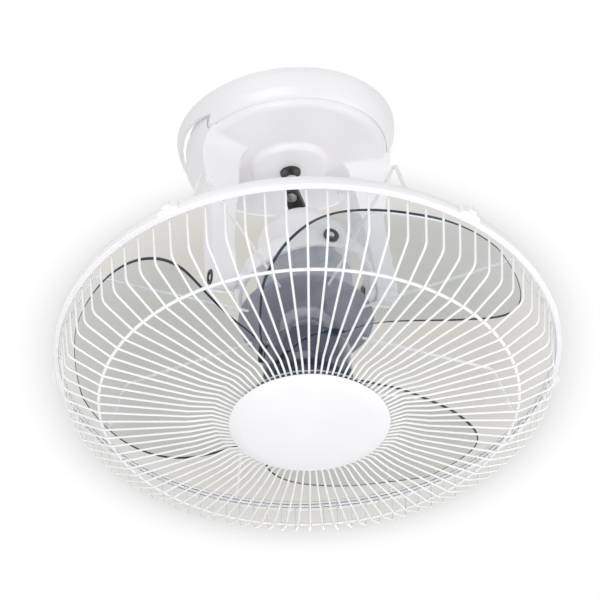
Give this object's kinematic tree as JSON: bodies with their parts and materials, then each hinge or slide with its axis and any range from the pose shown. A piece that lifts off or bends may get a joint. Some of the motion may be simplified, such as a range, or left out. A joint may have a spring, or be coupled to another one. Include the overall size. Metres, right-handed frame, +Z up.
{
  "type": "orbital ceiling fan",
  "caption": "Orbital ceiling fan: a wire-guarded fan head with broad tinted blades, hung in a gimbal ring between the arms of a ceiling canopy and swung round by a crank.",
  "frame": {"origin": "centre of the ceiling plate's upper face, which lies flat on the ceiling", "axes": "+Z up, out of the ceiling face; the yoke's two arms lie on -X and +X; the head leans towards -Y and -X at rest"},
  "size_m": [0.4233, 0.4229, 0.3741],
  "materials": {
    "white_plastic": "white moulded plastic, soft gloss",
    "white_wire": "white powder coat on steel wire",
    "black_plastic": "black moulded plastic, satin",
    "bright_steel": "bright steel",
    "zinc": "zinc-plated pressed steel, dull",
    "brass": "sintered bronze bush",
    "copper": "enamelled copper wire, varnished",
    "silicon_steel": "laminated motor steel",
    "tinted": "clear smoke-tinted plastic, polished",
    "dark_tinted": "dark tinted plastic, polished"
  },
  "bodies": {
    "base": {"ceiling_plate": "zinc", "canopy_ring": "white_plastic", "yoke_body": "white_plastic", "yoke_screw_1": "bright_steel", "yoke_screw_2": "bright_steel", "yoke_screw_3": "bright_steel", "orbit_socket": "black_plastic", "socket_clip": "bright_steel", "terminal_block": "white_plastic", "run_capacitor": "black_plastic", "arm_screw_left": "black_plastic", "arm_screw_right": "black_plastic"},
    "ring": {"gimbal_ring": "white_plastic", "ring_bush_left": "brass", "ring_bush_right": "brass", "head_screw_near": "black_plastic", "head_screw_far": "black_plastic"},
    "head": {"motor_front_cover": "white_plastic", "motor_rear_cover": "white_plastic", "lug_bush_near": "brass", "lug_bush_far": "brass", "stator_core": "silicon_steel", "stator_windings": "copper", "bearing_bracket": "zinc", "bearing_front": "bright_steel", "bearing_rear": "bright_steel", "orbit_motor": "zinc", "guard_plate": "white_wire", "guard_nut": "black_plastic", "front_guard": "white_wire", "rear_wire_1": "white_wire", "rear_wire_2": "white_wire", "rear_wire_3": "white_wire", "rear_wire_4": "white_wire", "rear_wire_5": "white_wire", "rear_wire_6": "white_wire", "rear_wire_7": "white_wire", "rear_wire_8": "white_wire", "middle_ring": "white_wire", "front_rim_ring": "white_wire", "rear_rim_ring": "white_wire", "rim_band": "white_plastic", "badge_disc": "white_plastic", "badge_plate": "zinc", "badge_screw_1": "bright_steel", "badge_screw_2": "bright_steel"},
    "rotor": {"rotor_shaft": "bright_steel", "rotor_core": "silicon_steel", "drive_pin": "bright_steel", "blade_hub": "dark_tinted", "blade_1": "tinted", "blade_2": "tinted", "blade_3": "tinted", "blade_nut": "black_plastic"},
    "crank": {"crank_shaft": "bright_steel", "crank_arm": "black_plastic", "crank_ball": "bright_steel"}
  },
  "joints": [
    {"name": "ring_pitch", "type": "hinge", "parent": "base", "child": "ring", "pos_m": [0, 0, -0.17], "axis": [1, 0, 0], "range_deg": [-3.7, 33]},
    {"name": "head_roll", "type": "hinge", "parent": "ring", "child": "head", "pos_m": [0, 0, -0.17], "axis": [0, 0.9675, -0.2529], "range_deg": [-29.6, 7.1]},
    {"name": "rotor_spin", "type": "hinge", "parent": "head", "child": "rotor", "pos_m": [0, 0, -0.17], "axis": [0.1952, 0.2481, 0.9489], "continuous": true},
    {"name": "crank_spin", "type": "hinge", "parent": "head", "child": "crank", "pos_m": [0, 0, -0.17], "axis": [0.1952, 0.2481, 0.9489], "continuous": true}
  ]
}
